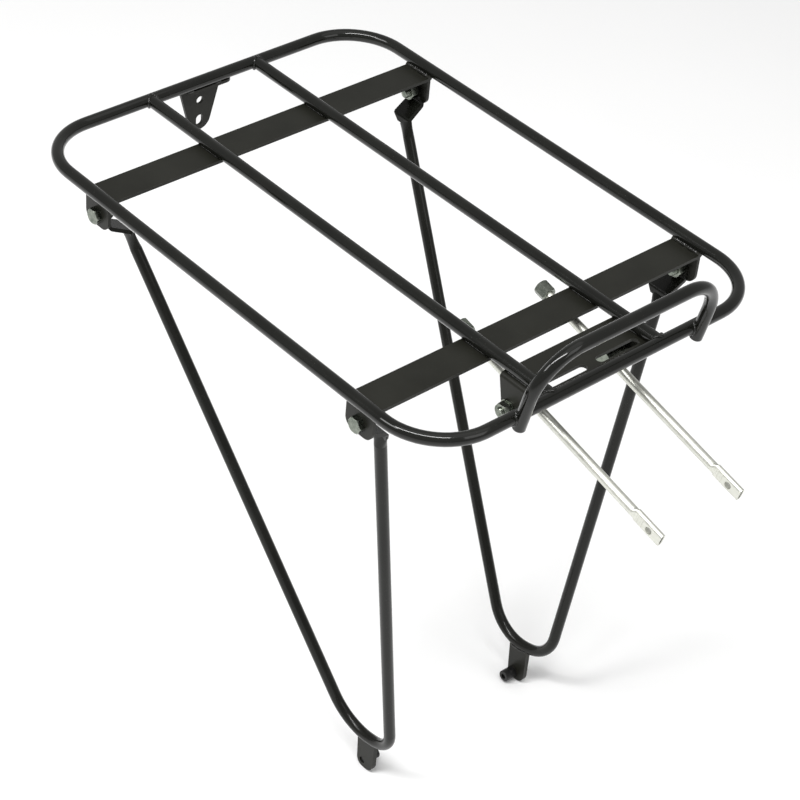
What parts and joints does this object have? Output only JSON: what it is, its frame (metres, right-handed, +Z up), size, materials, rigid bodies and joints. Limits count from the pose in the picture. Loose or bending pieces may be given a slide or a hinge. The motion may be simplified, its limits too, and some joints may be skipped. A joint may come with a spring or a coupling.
{
  "type": "bicycle rear rack",
  "caption": "Black tubular steel rear rack: long rounded deck with inner bars, upright front hoop, V-shaped bolt-on legs, slotted stay bracket and silver sliding stays.",
  "frame": {"origin": "middle of the deck in plan, on the centreline plane of the deck's tubes", "axes": "+X to the bicycle's front, +Y to the bicycle's left, +Z up"},
  "size_m": [0.4856, 0.2884, 0.4299],
  "materials": {
    "black_paint": "gloss black stove enamel over steel",
    "black_oxide": "semi-gloss blackened steel",
    "zinc": "bright zinc plate",
    "stay_aluminium": "satin drawn aluminium"
  },
  "bodies": {
    "rack": {"deck_loop": "black_paint", "inner_bar_left": "black_paint", "inner_bar_right": "black_paint", "cross_plate_front": "black_paint", "cross_plate_rear": "black_paint", "front_hoop": "black_paint", "stay_bracket": "black_paint", "tail_bracket": "black_paint", "leg_left": "black_paint", "leg_right": "black_paint", "foot_lug_left": "black_paint", "foot_lug_right": "black_paint", "foot_bolt_left": "black_oxide", "foot_bolt_right": "black_oxide", "foot_nut_left": "black_oxide", "foot_nut_right": "black_oxide", "ear_bolts": "zinc", "ear_nuts": "zinc", "eye_sleeve_left": "zinc", "eye_sleeve_right": "zinc", "eye_washer_left": "zinc", "eye_washer_right": "zinc"},
    "clamp_left": {"eye_bolt_left": "zinc", "eye_nut_left": "zinc"},
    "stay_arm_left": {"stay_left": "stay_aluminium", "stop_nut_left": "zinc"},
    "clamp_right": {"eye_bolt_right": "zinc", "eye_nut_right": "zinc"},
    "stay_arm_right": {"stay_right": "stay_aluminium", "stop_nut_right": "zinc"}
  },
  "joints": [
    {"name": "stay_tilt_left", "type": "hinge", "parent": "rack", "child": "clamp_left", "pos_m": [0.167, 0.034, -0.0248], "axis": [0, -1, 0], "range_deg": [-3, 30]},
    {"name": "stay_slide_left", "type": "slide", "parent": "clamp_left", "child": "stay_arm_left", "axis": [0.969, 0, -0.2471], "range_m": [-0.07, 0.04]},
    {"name": "stay_tilt_right", "type": "hinge", "parent": "rack", "child": "clamp_right", "pos_m": [0.167, -0.034, -0.0248], "axis": [0, -1, 0], "range_deg": [-3, 30]},
    {"name": "stay_slide_right", "type": "slide", "parent": "clamp_right", "child": "stay_arm_right", "axis": [0.969, 0, -0.2471], "range_m": [-0.07, 0.04]}
  ]
}
